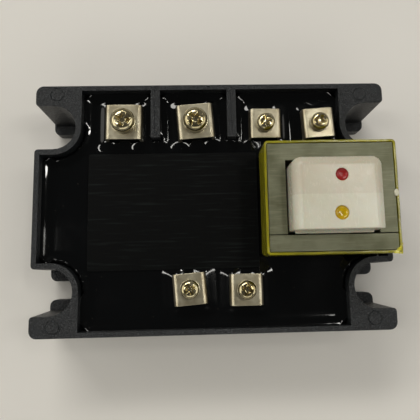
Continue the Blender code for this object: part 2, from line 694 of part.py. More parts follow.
def make_gel():
    """Soft gel over the thyristors, up to the underside of the board."""
    gel_look = material("silicone_gel", (0.55, 0.57, 0.58), 0.1)
    gel = prism("silicone_gel", gel_look, rounded_box_outline(71.2, 64.2, 1.0), GEL_Z0, GEL_Z1)
    for number, terminal in enumerate(TERMINALS, 1):
        if terminal[3]:
            for leg in bracket_clearance(f"gel_{number}", *terminal):
                boolean(gel, leg)
    under_clips = cut_box("cut_clips", -29.3, -1.2, 7.8, 17.4, GEL_Z0 - 1, 9.5)
    boolean(gel, under_clips)
    return gel


def make_resin():
    """Black epoxy that fills the case round every buried piece."""
    epoxy = material("black_epoxy", (0.012, 0.013, 0.014), 0.12)
    resin = prism("potting_resin", epoxy, cavity_outline(GAP), POCKET_FLOOR_Z + GAP, RESIN_Z)
    boolean(resin, prism("cut_gel_space", None, rounded_box_outline(71.8, 64.8, 1.0),
                         POCKET_FLOOR_Z - 1, BOARD_Z0))
    boolean(resin, prism("cut_board_space", None, board_outline(GAP), BOARD_Z0 - GAP, BOARD_Z1 + GAP))
    for number, x in enumerate(RIB_XS, 1):
        boolean(resin, rib(f"cut_rib_{number}", x, GAP, CASE_Y / 2, RESIN_Z + 1))
    for number, terminal in enumerate(TERMINALS, 1):
        for leg in bracket_clearance(number, *terminal):
            boolean(resin, leg)
    bobbin_space = cut_box("cut_bobbin_space", CORE_X - FLANGE_X - GAP, CORE_X + FLANGE_X + GAP,
                           BOBBIN_Y0 - GAP, BOBBIN_Y1 + GAP, BOARD_Z1 - 0.5, RESIN_Z + 1)
    boolean(resin, bobbin_space)
    for name, ((x, y), (sx, sy, sz)) in BLOCK_PARTS.items():
        boolean(resin, block(f"cut_{name}", None, (x, y), (sx + 2 * GAP, sy + 2 * GAP, sz + 1), BOARD_Z1))
    for name, ((x, y), radius, height) in UPRIGHT_PARTS.items():
        grown = radius + GAP
        boolean(resin, turned(f"cut_{name}", None, [(0, -0.5), (grown, -0.5), (grown, height + GAP),
                                                    (0, height + GAP)], 20, place=(x, y, ON_BOARD)))
    for name, ((x, y), radius, length) in LYING_PARTS.items():
        side = 2 * (radius + GAP)
        boolean(resin, block(f"cut_{name}", None, (x, y), (side, length + 2 * GAP, side + 0.5), BOARD_Z1))
    return resin


def make_label():
    card = material("label_card", (0.03, 0.034, 0.032), 0.6)
    outline = rounded_box_outline(LABEL_X, LABEL_Y, 0.5, LABEL_CENTRE, 2)
    prism("label_plate", card, outline, RESIN_Z + THIN_GAP, RESIN_Z + THIN_GAP + LABEL_Z)


def main():
    clear_scene()
    make_housing()
    make_base_plate()
    make_terminals()
    make_core()
    make_core_tape()
    make_bobbin()
    make_pins()
    make_windings()
    make_bobbin_cover()
    make_markers()
    make_board()
    make_power_stage()
    make_board_parts()
    make_gel()
    make_resin()
    make_label()


main()
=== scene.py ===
"""Looks for an open, potted solid state relay: case, epoxy, screw terminals, transformer."""

import math

import bmesh
import bpy
from mathutils import Matrix, Vector


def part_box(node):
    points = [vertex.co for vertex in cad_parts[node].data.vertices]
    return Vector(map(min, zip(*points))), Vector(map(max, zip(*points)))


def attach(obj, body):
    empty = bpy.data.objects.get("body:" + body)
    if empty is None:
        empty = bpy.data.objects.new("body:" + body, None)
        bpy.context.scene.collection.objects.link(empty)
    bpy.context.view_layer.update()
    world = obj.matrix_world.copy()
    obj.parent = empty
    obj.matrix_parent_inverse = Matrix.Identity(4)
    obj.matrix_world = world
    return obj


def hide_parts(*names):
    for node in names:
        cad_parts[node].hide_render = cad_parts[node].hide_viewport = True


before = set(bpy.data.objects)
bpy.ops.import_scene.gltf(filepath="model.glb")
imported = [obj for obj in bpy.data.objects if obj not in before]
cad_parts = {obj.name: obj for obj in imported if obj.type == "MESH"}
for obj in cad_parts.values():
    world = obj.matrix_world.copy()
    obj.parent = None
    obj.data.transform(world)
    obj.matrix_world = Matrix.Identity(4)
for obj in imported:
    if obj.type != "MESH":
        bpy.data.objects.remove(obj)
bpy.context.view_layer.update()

MM = 0.001
BODY = "relay_body"

# Terminals: turn of each bracket and of each screw's recess about the upright, in degrees
BRACKET_TURNS = (-0.5, 4.5, -0.3, 3.5, 4.4, 0.2)
RECESS_TURNS = (-12, 45, 20, 68, 30, -20)
HEAVY_TERMINALS = (1, 2)
BEND_R = {True: 1.45, False: 1.3}
SHEET = {True: 1.0, False: 0.8}
THREAD = {True: (4.0, 0.7), False: (3.0, 0.5)}      # diameter and pitch
HEAD = {True: (7.2, 2.6, 5.4), False: (5.4, 2.0, 4.0)}   # diameter, height and width of the recess
COLLAR = {True: 6.6, False: 5.2}
COLLAR_H = 3.0
HOLE_PLAY = 0.15

EPOXY_CLIMB = 0.9            # how far the epoxy wets up the walls
EPOXY_REACH = 4.2             # how far from a wall that rise dies out
EPOXY_CELL = 0.38             # mesh spacing of the epoxy's surface
COVER_SIDE_R, COVER_FAR_R, COVER_NEAR_R = 2.9, 2.6, 0.35   # rounding of the cap's edges
LAMINATION = 0.5              # thickness of one steel sheet


# ---------------------------------------------------------------- modelling tools

def select_only(item):
    if bpy.context.object and bpy.context.object.mode != "OBJECT":
        bpy.ops.object.mode_set(mode="OBJECT")
    bpy.ops.object.select_all(action="DESELECT")
    item.select_set(True)
    bpy.context.view_layer.objects.active = item


def upright(edge):
    return abs((edge.verts[0].co - edge.verts[1].co).normalized().z) > 0.9


def start_edit(item, mode="FACE"):
    select_only(item)
    bpy.ops.object.mode_set(mode="EDIT")
    bpy.ops.mesh.select_mode(type=mode)
    bpy.ops.mesh.select_all(action="DESELECT")
    return bmesh.from_edit_mesh(item.data)


def pick(item, mesh, group, wanted):
    """Select the faces, edges or vertices for which wanted(element) is true."""
    for element in getattr(mesh, group):
        if wanted(element):
            element.select_set(True)
    mesh.select_flush_mode()
    bmesh.update_edit_mesh(item.data)


def end_edit():
    bpy.ops.object.mode_set(mode="OBJECT")


def apply_changes(item):
    select_only(item)
    for change in list(item.modifiers):
        bpy.ops.object.modifier_apply(modifier=change.name)


def place(item, name, location=(0, 0, 0), turn=0.0):
    """Put a piece where it belongs and bake its place into its mesh."""
    select_only(item)
    bpy.ops.object.transform_apply(location=True, rotation=True, scale=True)
    item.data.transform(Matrix.Translation(location) @ Matrix.Rotation(math.radians(turn), 4, "Z"))
    item.name = name
    item.data.name = name


def smooth(item, angle=32, flats=True):
    """Smooth shading, in which broad flat faces stay flat up to their rounded edges."""
    select_only(item)
    bpy.ops.object.shade_smooth_by_angle(angle=math.radians(angle))
    if flats:
        item.modifiers.new("flat_faces", "WEIGHTED_NORMAL").keep_sharp = True
        apply_changes(item)


def soften(item, width, segments=2, angle=35):
    """Round every edge that is sharper than the angle, as moulding or tumbling does."""
    change = item.modifiers.new("rounded_edges", "BEVEL")
    change.width = width * MM
    change.segments = segments
    change.limit_method = "ANGLE"
    change.angle_limit = math.radians(angle)
    apply_changes(item)


def combine(item, tool, operation):
    change = item.modifiers.new("cut", "BOOLEAN")
    change.operation = operation
    change.solver = "EXACT"
    change.object = tool
    apply_changes(item)
    bpy.data.objects.remove(tool, do_unlink=True)


def join(*items):
    select_only(items[0])
    for item in items[1:]:
        item.select_set(True)
    bpy.ops.object.join()
    return items[0]


def twin(item, name):
    made = bpy.data.objects.new(name, item.data.copy())
    bpy.context.scene.collection.objects.link(made)
    return made


def from_node(node, name):
    """A copy of a CAD node's mesh with its corners merged and its flat faces whole."""
    made = twin(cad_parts[node], name)
    made.data.materials.clear()
    select_only(made)
    bpy.ops.mesh.customdata_custom_splitnormals_clear()
    start_edit(made)
    bpy.ops.mesh.select_all(action="SELECT")
    bpy.ops.mesh.remove_doubles(threshold=0.01 * MM)
    bpy.ops.mesh.dissolve_limited(angle_limit=math.radians(0.5))
    end_edit()
    return made


def block(size, centre):
    bpy.ops.mesh.primitive_cube_add(size=1.0, location=[c * MM for c in centre])
    made = bpy.context.object
    made.scale = [s * MM for s in size]
    select_only(made)
    bpy.ops.object.transform_apply(location=True, rotation=True, scale=True)
    return made


def turned(rings, sides=64):
    """A round piece drawn up from a filled circle, one (radius, height) ring after another."""
    radius, height = rings[0]
    bpy.ops.mesh.primitive_circle_add(vertices=sides, radius=radius * MM, fill_type="NGON",
                                      location=(0, 0, height * MM))
    made = bpy.context.object
    select_only(made)
    bpy.ops.object.transform_apply(location=True, rotation=True, scale=True)
    start_edit(made)
    bpy.ops.mesh.select_all(action="SELECT")
    for next_radius, next_height in rings[1:]:
        step = (0, 0, (next_height - height) * MM)
        bpy.ops.mesh.extrude_region_move(TRANSFORM_OT_translate={"value": step})
        grow = next_radius / radius
        bpy.ops.transform.resize(value=(grow, grow, 1), center_override=(0, 0, next_height * MM))
        radius, height = next_radius, next_height
    bpy.ops.mesh.select_all(action="SELECT")
    bpy.ops.mesh.normals_make_consistent(inside=False)
    end_edit()
    return made


def finish_piece(item, body, look, slot, *nodes):
    item.data.materials.clear()
    item.data.materials.append(look)
    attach(item, body)
    if nodes:
        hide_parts(*nodes)


# ---------------------------------------------------------------- material tools

def linear(code):
    """An sRGB hex colour as linear red, green, blue and alpha."""
    parts = [int(code[i:i + 2], 16) / 255 for i in (0, 2, 4)]
    return [p / 12.92 if p <= 0.04045 else ((p + 0.055) / 1.055) ** 2.4 for p in parts] + [1.0]


def add_node(tree, kind, settings=None, links=None):
    made = tree.nodes.new(kind)
    for key, value in (settings or {}).items():
        if isinstance(key, int) or key in made.inputs:
            made.inputs[key].default_value = value
        else:
            setattr(made, key, value)
    for key, source in (links or {}).items():
        tree.links.new(source, made.inputs[key])
    return made


def new_material(name, colour, roughness, **sockets):
    made = bpy.data.materials.new(name)
    made.use_nodes = True
    shader = made.node_tree.nodes["Principled BSDF"]
    shader.inputs["Base Color"].default_value = linear(colour)
    shader.inputs["Roughness"].default_value = roughness
    for key, value in sockets.items():
        shader.inputs[key.replace("_", " ")].default_value = value
    return made, made.node_tree, shader


def grain(tree, size_mm, stretch=(1, 1, 1), detail=2.0, kind="ShaderNodeTexNoise"):
    """A pattern on the object's own points whose features are size_mm across."""
    points = add_node(tree, "ShaderNodeTexCoord")
    place_on = add_node(tree, "ShaderNodeMapping", {"Scale": stretch},
                        {"Vector": points.outputs["Object"]})
    settings = {"Scale": 1 / (size_mm * MM)}
    if kind == "ShaderNodeTexNoise":
        settings["Detail"] = detail
    return add_node(tree, kind, settings, {"Vector": place_on.outputs["Vector"]})


def spread(tree, value, low, high, to_low=0.0, to_high=1.0):
    """Stretch the part of a pattern between low and high over a new range."""
    settings = {"From Min": low, "From Max": high, "To Min": to_low, "To Max": to_high}
    return add_node(tree, "ShaderNodeMapRange", settings, {"Value": value}).outputs["Result"]


def tint(tree, factor, first, second):
    """Mix two colours, each a hex code or another mix."""
    made = add_node(tree, "ShaderNodeMix", {"data_type": "RGBA"})
    tree.links.new(factor, made.inputs["Factor"])
    for index, colour in ((6, first), (7, second)):
        if isinstance(colour, str):
            made.inputs[index].default_value = linear(colour)
        else:
            tree.links.new(colour, made.inputs[index])
    return made.outputs[2]


def relief(tree, shader, height, depth_mm, strength=1.0):
    """Add a bump of that depth over any bump that the shader has already."""
    made = add_node(tree, "ShaderNodeBump", {"Strength": strength, "Distance": depth_mm * MM},
                    {"Height": height})
    if shader.inputs["Normal"].is_linked:
        tree.links.new(shader.inputs["Normal"].links[0].from_socket, made.inputs["Normal"])
    tree.links.new(made.outputs["Normal"], shader.inputs["Normal"])


def math_node(tree, operation, first, second=0.5):
    made = add_node(tree, "ShaderNodeMath", {"operation": operation}, {0: first})
    if isinstance(second, (int, float)):
        made.inputs[1].default_value = second
    else:
        tree.links.new(second, made.inputs[1])
    return made.outputs["Value"]


# ---------------------------------------------------------------- materials

def case_plastic():
    """Glass-filled black nylon moulded in a spark-eroded tool, with pale grey flecks painted into
    its colour as glints: a painted highlight standing in for the coarse sparkle of light on its
    top.
    """
    made, tree, shader = new_material("moulded_glass_filled_nylon", "101213", 0.4,
                                      Specular_IOR_Level=0.45)
    pits = grain(tree, 0.42, detail=3.0)
    broad = grain(tree, 9.0, detail=2.0)
    colour = tint(tree, spread(tree, pits.outputs["Fac"], 0.35, 0.7), "07090b", "15191c")
    colour = tint(tree, spread(tree, broad.outputs["Fac"], 0.4, 0.75, 0.0, 0.3), colour, "2b2e31")
    # painted highlight: sparse pale grey flecks mixed into the base colour stand in for glints of
    # light off the grainy top
    painted_glint_grain = grain(tree, 0.34, detail=2.0)
    painted_glint_flecks = spread(tree, painted_glint_grain.outputs["Fac"], 0.56, 0.68, 0.0, 0.6)
    colour = tint(tree, painted_glint_flecks, colour, "4c5053")
    tree.links.new(colour, shader.inputs["Base Color"])
    tree.links.new(spread(tree, pits.outputs["Fac"], 0.3, 0.7, 0.48, 0.26),
                   shader.inputs["Roughness"])
    relief(tree, shader, pits.outputs["Fac"], 0.45, 1.0)
    return made


def cast_epoxy():
    """Black potting epoxy that has levelled itself: wet gloss, slow waves and a few specks."""
    made, tree, shader = new_material("cast_black_epoxy", "08090a", 0.05, IOR=1.5,
                                      Specular_IOR_Level=0.42)
    waves = grain(tree, 7.0, detail=1.0)
    relief(tree, shader, waves.outputs["Fac"], 0.10, 0.6)
    specks = grain(tree, 2.6, kind="ShaderNodeTexVoronoi")
    dust = spread(tree, specks.outputs["Distance"], 0.03, 0.05, 1.0, 0.0)
    colour = tint(tree, math_node(tree, "MULTIPLY", dust, 0.35), "08090a", "6e6a60")
    tree.links.new(colour, shader.inputs["Base Color"])
    smears = grain(tree, 16.0, detail=3.0)
    tree.links.new(spread(tree, smears.outputs["Fac"], 0.4, 0.8, 0.04, 0.13),
                   shader.inputs["Roughness"])
    return made


def label_film():
    """Matt black film with fine drawn streaks along its length."""
    made, tree, shader = new_material("matt_black_film", "040505", 0.5,
                                      Specular_IOR_Level=0.08)
    streaks = grain(tree, 0.7, stretch=(0.05, 1, 1), detail=3.0)
    colour = tint(tree, spread(tree, streaks.outputs["Fac"], 0.55, 0.75), "030404", "171b1a")
    tree.links.new(colour, shader.inputs["Base Color"])
    tree.links.new(spread(tree, streaks.outputs["Fac"], 0.3, 0.7, 0.55, 0.38),
                   shader.inputs["Roughness"])
    relief(tree, shader, streaks.outputs["Fac"], 0.03, 0.7)
    return made


def plated_metal(name, bright, dull, roughness, mark_mm):
    """Nickel plate over a pressed or headed blank: warm white, with faint tumbling marks."""
    made, tree, shader = new_material(name, bright, roughness, Metallic=1.0)
    stains = grain(tree, 4.5, detail=3.0)
    marks = grain(tree, mark_mm, detail=3.0)
    colour = tint(tree, spread(tree, stains.outputs["Fac"], 0.42, 0.72), bright, dull)
    tree.links.new(colour, shader.inputs["Base Color"])
    rough = spread(tree, marks.outputs["Fac"], 0.3, 0.7, roughness - 0.03, roughness + 0.04)
    tree.links.new(rough, shader.inputs["Roughness"])
    relief(tree, shader, marks.outputs["Fac"], 0.006, 0.3)
    return made


def lamination_steel():
    """Silicon steel sheets with a grey-green coating: flat on top, layered on the edges."""
    made, tree, shader = new_material("coated_silicon_steel", "75765f", 0.42, Metallic=0.6)
    rolled = grain(tree, 0.45, stretch=(0.07, 1, 1), detail=4.0)
    patches = grain(tree, 7.0, detail=3.0)
    colour = tint(tree, spread(tree, patches.outputs["Fac"], 0.35, 0.7), "767761", "5c5d46")
    colour = tint(tree, spread(tree, rolled.outputs["Fac"], 0.5, 0.8, 0.0, 0.5), colour, "93917a")
    tree.links.new(colour, shader.inputs["Base Color"])
    points = add_node(tree, "ShaderNodeTexCoord")
    bands = 2 * math.pi / (20 * LAMINATION * MM)      # this pattern has 20 radians per unit
    layers = add_node(tree, "ShaderNodeTexWave", {"bands_direction": "Z", "Scale": bands},
                      {"Vector": points.outputs["Object"]})
    relief(tree, shader, rolled.outputs["Fac"], 0.02, 0.5)
    relief(tree, shader, layers.outputs["Fac"], 0.05, 0.6)
    return made


def polyester_tape(name, deep, light):
    """Yellow polyester film wound in several turns: clear enough to darken over the steel."""
    made, tree, shader = new_material(name, deep, 0.2)
    layers = grain(tree, 3.0, stretch=(0.3, 0.3, 2.2), detail=3.0)
    colour = tint(tree, spread(tree, layers.outputs["Fac"], 0.35, 0.7), deep, light)
    tree.links.new(colour, shader.inputs["Base Color"])
    creases = grain(tree, 1.4, stretch=(1, 1, 0.3), detail=2.0)
    relief(tree, shader, creases.outputs["Fac"], 0.08, 0.5)
    return made


def ivory_nylon():
    """Natural nylon moulding, slightly see-through, with a satin skin."""
    made, tree, shader = new_material("natural_nylon_moulding", "cdcab8", 0.22,
                                      Subsurface_Weight=0.25, Subsurface_Scale=1.2 * MM)
    clouds = grain(tree, 11.0, detail=3.0)
    scuffs = grain(tree, 0.35, stretch=(1, 0.2, 1), detail=3.0)
    colour = tint(tree, spread(tree, clouds.outputs["Fac"], 0.35, 0.7), "d1cebd", "c8c4ae")
    points = add_node(tree, "ShaderNodeTexCoord")
    along = add_node(tree, "ShaderNodeSeparateXYZ", links={"Vector": points.outputs["Object"]})
    far_half = spread(tree, along.outputs["Y"], -0.1 * MM, 0.1 * MM, 0.0, 0.5)
    colour = tint(tree, far_half, colour, "bfb5a2")
    tree.links.new(colour, shader.inputs["Base Color"])
    tree.links.new(spread(tree, scuffs.outputs["Fac"], 0.35, 0.75, 0.18, 0.32),
                   shader.inputs["Roughness"])
    dents = grain(tree, 2.2, detail=2.0)
    relief(tree, shader, clouds.outputs["Fac"], 0.10, 0.5)
    relief(tree, shader, dents.outputs["Fac"], 0.06, 0.6)
    return made


def marker_resin(name, deep, light, roughness):
    """A drop of pigmented resin set in a dimple."""
    made, tree, shader = new_material(name, deep, roughness, Subsurface_Weight=0.15,
                                      Subsurface_Scale=0.5 * MM)
    swirl = grain(tree, 1.2, detail=2.0)
    colour = tint(tree, spread(tree, swirl.outputs["Fac"], 0.35, 0.7), deep, light)
    tree.links.new(colour, shader.inputs["Base Color"])
    return made


def rolled_aluminium():
    """Machined aluminium with fine parallel tool lines."""
    made, tree, shader = new_material("milled_aluminium", "c9cbcd", 0.32, Metallic=1.0)
    lines = grain(tree, 0.4, stretch=(0.03, 1, 1), detail=3.0)
    clouds = grain(tree, 14.0, detail=2.0)
    colour = tint(tree, spread(tree, clouds.outputs["Fac"], 0.35, 0.7), "d0d2d4", "b4b6b8")
    tree.links.new(colour, shader.inputs["Base Color"])
    tree.links.new(spread(tree, lines.outputs["Fac"], 0.3, 0.7, 0.24, 0.42),
                   shader.inputs["Roughness"])
    relief(tree, shader, lines.outputs["Fac"], 0.015, 0.6)
    return made


def plain_finish(name, first, second, roughness, metallic=0.0, size_mm=2.0):
    """A moulded, dipped or rolled surface with a soft mottle of two tones."""
    made, tree, shader = new_material(name, first, roughness, Metallic=metallic)
    mottle = grain(tree, size_mm, detail=3.0)
    tree.links.new(tint(tree, spread(tree, mottle.outputs["Fac"], 0.35, 0.7), first, second),
                   shader.inputs["Base Color"])
    relief(tree, shader, mottle.outputs["Fac"], 0.03, 0.5)
    return made


# ---------------------------------------------------------------- case and base

EJECTOR_MARKS = ((-46.2, 34.0), (45.5, 33.3), (-45.9, -33.7), (46.0, -33.4))
EJECTOR_R = 1.9
GATE_MARK = (-0.8, 36.05)


def make_case(look):
    shell = from_node("housing", "case_shell")
    soften(shell, 0.22, 2, 50)
    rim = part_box("housing")[1][2]
    for x, y in EJECTOR_MARKS:
        bpy.ops.mesh.primitive_torus_add(major_radius=EJECTOR_R * MM, minor_radius=0.19 * MM,
                                         major_segments=40, minor_segments=8,
                                         location=(x * MM, y * MM, rim))
        combine(shell, bpy.context.object, "DIFFERENCE")
    pip = turned([(0.3, -0.35), (0.42, 0.0), (0.42, 0.5)], 24)
    place(pip, "gate", (GATE_MARK[0] * MM, GATE_MARK[1] * MM, rim))
    combine(shell, pip, "DIFFERENCE")
    smooth(shell)
    finish_piece(shell, BODY, look, "case_plastic", "housing")


def make_base(look):
    plate = from_node("base_plate", "heat_spreader")
    soften(plate, 0.2, 2, 50)
    smooth(plate)
    finish_piece(plate, BODY, look, "bare_aluminium", "base_plate")


# ---------------------------------------------------------------- epoxy and label

def epoxy_block():
    """A block as wide as the case's inside, whose top is a fine even net."""
    low, high = (Vector(corner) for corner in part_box("potting_resin"))
    spare = 0.35 * MM
    width, depth = high.x - low.x + 2 * spare, high.y - low.y + 2 * spare
    cells = [round(size / (EPOXY_CELL * MM)) for size in (width, depth)]
    bpy.ops.mesh.primitive_grid_add(x_subdivisions=cells[0], y_subdivisions=cells[1], size=1.0,
                                    location=((low.x + high.x) / 2, (low.y + high.y) / 2, high.z))
    made = bpy.context.object
    made.scale = (width, depth, 1)
    select_only(made)
    bpy.ops.object.transform_apply(location=True, rotation=True, scale=True)
    mesh = start_edit(made, "EDGE")
    pick(made, mesh, "edges", lambda edge: edge.is_boundary)
    bpy.ops.mesh.extrude_edges_move(TRANSFORM_OT_translate={"value": (0, 0, low.z - high.z)})
    bpy.ops.mesh.edge_face_add()
    bpy.ops.mesh.select_all(action="SELECT")
    bpy.ops.mesh.normals_make_consistent(inside=False)
    end_edit()
    return made


def largest_part(item):
    """Split off the loose parts and keep only the biggest."""
    select_only(item)
    bpy.ops.object.mode_set(mode="EDIT")
    bpy.ops.mesh.select_all(action="SELECT")
    bpy.ops.mesh.separate(type="LOOSE")
    bpy.ops.object.mode_set(mode="OBJECT")
    parts = sorted(bpy.context.selected_objects, key=lambda part: len(part.data.vertices))
    for part in parts[:-1]:
        bpy.data.objects.remove(part, do_unlink=True)
    return parts[-1]


def make_epoxy(look):
    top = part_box("potting_resin")[1][2]
    fill = epoxy_block()
    combine(fill, from_node("housing", "walls"), "DIFFERENCE")
    fill = largest_part(fill)
    wetted = [from_node("housing", "walls"), from_node("bobbin", "bobbin_foot")]
    wetted += [from_node(f"terminal_bracket_{n}", f"legs_{n}") for n in range(1, 7)]
    wetted = join(*wetted)
    surface = [v.index for v in fill.data.vertices if abs(v.co.z - top) < 0.01 * MM]
    fill.vertex_groups.new(name="surface").add(surface, 1.0, "REPLACE")
    near = fill.modifiers.new("nearness", "VERTEX_WEIGHT_PROXIMITY")
    near.vertex_group = "surface"
    near.target = wetted
    near.proximity_mode = "GEOMETRY"
    near.proximity_geometry = {"FACE"}
    near.min_dist, near.max_dist = EPOXY_REACH * MM, 0.0
    near.falloff_type = "SHARP"
    climb = fill.modifiers.new("climb", "DISPLACE")
    climb.vertex_group = "surface"
    climb.direction = "Z"
    climb.mid_level = 0.0
    climb.strength = EPOXY_CLIMB * MM
    settle = fill.modifiers.new("settle", "SMOOTH")
    settle.vertex_group = "surface"
    settle.use_x = settle.use_y = False
    settle.iterations = 30
    apply_changes(fill)
    bpy.data.objects.remove(wetted, do_unlink=True)
    fill.vertex_groups.clear()
    place(fill, "epoxy_fill")
    smooth(fill, 50)
    finish_piece(fill, BODY, look, "black_epoxy", "potting_resin")


def make_label(look):
    low, high = (Vector(corner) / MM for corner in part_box("label_plate"))
    sunk = 0.25
    size = high - low
    label = block((size.x, size.y, size.z + sunk), ((low.x + high.x) / 2, (low.y + high.y) / 2,
                                                     (high.z + low.z - sunk) / 2))
    mesh = start_edit(label, "EDGE")
    pick(label, mesh, "edges", upright)
    bpy.ops.mesh.bevel(offset=0.6 * MM, segments=4)
    end_edit()
    soften(label, 0.08, 2, 40)
    place(label, "label_film")
    smooth(label)
    finish_piece(label, BODY, look, "label_card", "label_plate")


# ---------------------------------------------------------------- terminals

def centre_of(node):
    low, high = (Vector(corner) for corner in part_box(node))
    return (low + high) / 2


def bent_strip(number, heavy):
    """Strip bent down at both sides, with a drawn collar under its hole."""
    low, high = (Vector(corner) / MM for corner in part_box(f"terminal_bracket_{number}"))
    turn = math.radians(abs(BRACKET_TURNS[number - 1]))
    wide, deep = high.x - low.x, high.y - low.y
    cos, sin = math.cos(turn), math.sin(turn)
    width = (wide * cos - deep * sin) / (cos * cos - sin * sin)
    depth = (deep * cos - wide * sin) / (cos * cos - sin * sin)
    sheet = SHEET[heavy]
    bpy.ops.mesh.primitive_plane_add(size=1.0, location=(0, 0, high.z * MM))
    strip = bpy.context.object
    strip.scale = (width * MM, depth * MM, 1)
    select_only(strip)
    bpy.ops.object.transform_apply(location=True, rotation=True, scale=True)
    mesh = start_edit(strip, "EDGE")
    pick(strip, mesh, "edges", lambda edge: abs(edge.verts[0].co.x - edge.verts[1].co.x) < 0.1 * MM)
    bpy.ops.mesh.extrude_edges_move(TRANSFORM_OT_translate={"value": (0, 0, (low.z - high.z) * MM)})
    bpy.ops.mesh.select_all(action="SELECT")
    bpy.ops.mesh.normals_make_consistent(inside=False)
    end_edit()
    mesh = start_edit(strip, "EDGE")
    pick(strip, mesh, "edges", lambda edge: len(edge.link_faces) == 2)
    bpy.ops.mesh.bevel(offset=BEND_R[heavy] * MM, segments=8)
    end_edit()
    up = max(strip.data.polygons, key=lambda face: face.center.z).normal.z
    wall = strip.modifiers.new("sheet", "SOLIDIFY")
    wall.thickness = sheet * MM
    wall.offset = -1.0 if up > 0 else 1.0
    wall.use_even_offset = True
    apply_changes(strip)
    hole_r = THREAD[heavy][0] / 2 + HOLE_PLAY
    combine(strip, turned([(hole_r, high.z - 6), (hole_r, high.z + 2)], 48), "DIFFERENCE")
    soften(strip, 0.18, 3, 50)
    join(strip, tapped_collar(heavy, hole_r, high.z - sheet / 2))
    return strip


def tapped_collar(heavy, hole_r, top):
    bpy.ops.mesh.primitive_cylinder_add(vertices=48, radius=COLLAR[heavy] / 2 * MM,
                                        depth=COLLAR_H * MM, end_fill_type="NOTHING",
                                        location=(0, 0, (top - COLLAR_H / 2) * MM))
    collar = bpy.context.object
    select_only(collar)
    bpy.ops.object.transform_apply(location=True, rotation=True, scale=True)
    wall = collar.modifiers.new("wall", "SOLIDIFY")
    wall.thickness = (COLLAR[heavy] / 2 - hole_r) * MM
    wall.offset = -1.0
    apply_changes(collar)
    soften(collar, 0.2, 3, 50)
    return collar


def split_ring(number, heavy):
    """Spring washer: a square-section wire coiled once, with a slanting split."""
    low, high = (Vector(corner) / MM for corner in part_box(f"spring_washer_{number}"))
    outer = (high.x - low.x) / 2
    inner = THREAD[heavy][0] / 2 + 0.2
    ring = block((outer - inner, 0.02, high.z - low.z),
                 ((outer + inner) / 2, 0, (high.z + low.z) / 2))
    mesh = start_edit(ring)
    pick(ring, mesh, "faces", lambda face: face.normal.y > 0.9)
    bpy.ops.mesh.spin(steps=64, angle=math.radians(-346), center=(0, 0, 0), axis=(0, 0, 1))
    bpy.ops.mesh.select_all(action="SELECT")
    bpy.ops.mesh.remove_doubles(threshold=0.001 * MM)
    bpy.ops.mesh.normals_make_consistent(inside=False)
    end_edit()
    soften(ring, 0.12, 2, 50)
    return ring


def thread_ridge(diameter, pitch, bottom, top):
    """Helical ridge with a triangular section, closed at both ends."""
    root, crest = diameter / 2 - 0.62 * pitch, diameter / 2
    turns = int((top - bottom) / pitch) - 1
    bpy.ops.mesh.primitive_circle_add(vertices=3, radius=1 * MM, fill_type="NOTHING")
    ridge = bpy.context.object
    corners = ((root, 0.06 * pitch), (crest, 0.5 * pitch), (root, 0.94 * pitch))
    for vertex, (radius, rise) in zip(ridge.data.vertices, corners):
        vertex.co = Vector((radius, 0, bottom + rise)) * MM
    coil = ridge.modifiers.new("coil", "SCREW")
    coil.axis = "Z"
    coil.screw_offset = pitch * MM
    coil.iterations = turns
    coil.steps = coil.render_steps = 28
    coil.merge_threshold = 0.0001 * MM
    apply_changes(ridge)
    start_edit(ridge)
    bpy.ops.mesh.select_all(action="SELECT")
    bpy.ops.mesh.fill_holes(sides=4)
    bpy.ops.mesh.normals_make_consistent(inside=False)
    end_edit()
    return ridge


def pan_head_screw(heavy, base, tip):
    """Pan head over a cut thread, with a tapering cross recess punched in its crown."""
    head, height, recess = HEAD[heavy]
    diameter, pitch = THREAD[heavy]
    radius, crown = head / 2, head / 2 * 0.45
    core = diameter / 2 - 0.55 * pitch
    rings = [(core * 0.7, tip), (core, tip + 0.4), (core, base + 0.05),
             (radius - 0.12, base + 0.05), (radius, base + 0.2), (radius, base + height * 0.42)]
    steps = 7
    for step in range(1, steps + 1):
        angle = math.pi / 2 * step / steps
        rings.append((crown + (radius - crown) * math.cos(angle),
                      base + height * (0.42 + 0.54 * math.sin(angle))))
    rings += [(crown * 0.6, base + height * 0.985), (crown * 0.25, base + height)]
    screw = turned(rings, 64)
    depth = height * 0.62
    top = base + height + 0.2
    for turn in (0, 90):
        wing = block((recess, recess * 0.28, depth + 0.2), (0, 0, top - (depth + 0.2) / 2))
        mesh = start_edit(wing, "FACE")
        pick(wing, mesh, "faces", lambda face: face.normal.z < -0.9)
        bpy.ops.transform.resize(value=(0.34, 0.55, 1), center_override=(0, 0, top * MM))
        end_edit()
        place(wing, "wing", turn=turn)
        combine(screw, wing, "DIFFERENCE")
    soften(screw, 0.05, 2, 40)
    return join(screw, thread_ridge(diameter, pitch, tip + 0.1, base))


def make_terminals(bracket_look, washer_look, screw_look):
    for number in range(1, 7):
        heavy = number in HEAVY_TERMINALS
        turn = BRACKET_TURNS[number - 1]
        centre = centre_of(f"terminal_bracket_{number}")
        spot = Vector((centre.x, centre.y, 0))
        strip = bent_strip(number, heavy)
        place(strip, f"terminal_clip_{number}", spot, turn)
        smooth(strip)
        finish_piece(strip, BODY, bracket_look, "nickel_plate", f"terminal_bracket_{number}")
        ring = split_ring(number, heavy)
        place(ring, f"split_washer_{number}", spot, turn + 115 * number)
        smooth(ring)
        finish_piece(ring, f"washer_{number}", washer_look, "spring_steel",
                     f"spring_washer_{number}")
        low, high = (Vector(corner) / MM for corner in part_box(f"terminal_screw_{number}"))
        screw = pan_head_screw(heavy, high.z - HEAD[heavy][1], low.z)
        place(screw, f"pan_head_{number}", spot, RECESS_TURNS[number - 1])
        smooth(screw)
        finish_piece(screw, f"screw_{number}", screw_look, "screw_steel",
                     f"terminal_screw_{number}")


# ---------------------------------------------------------------- transformer

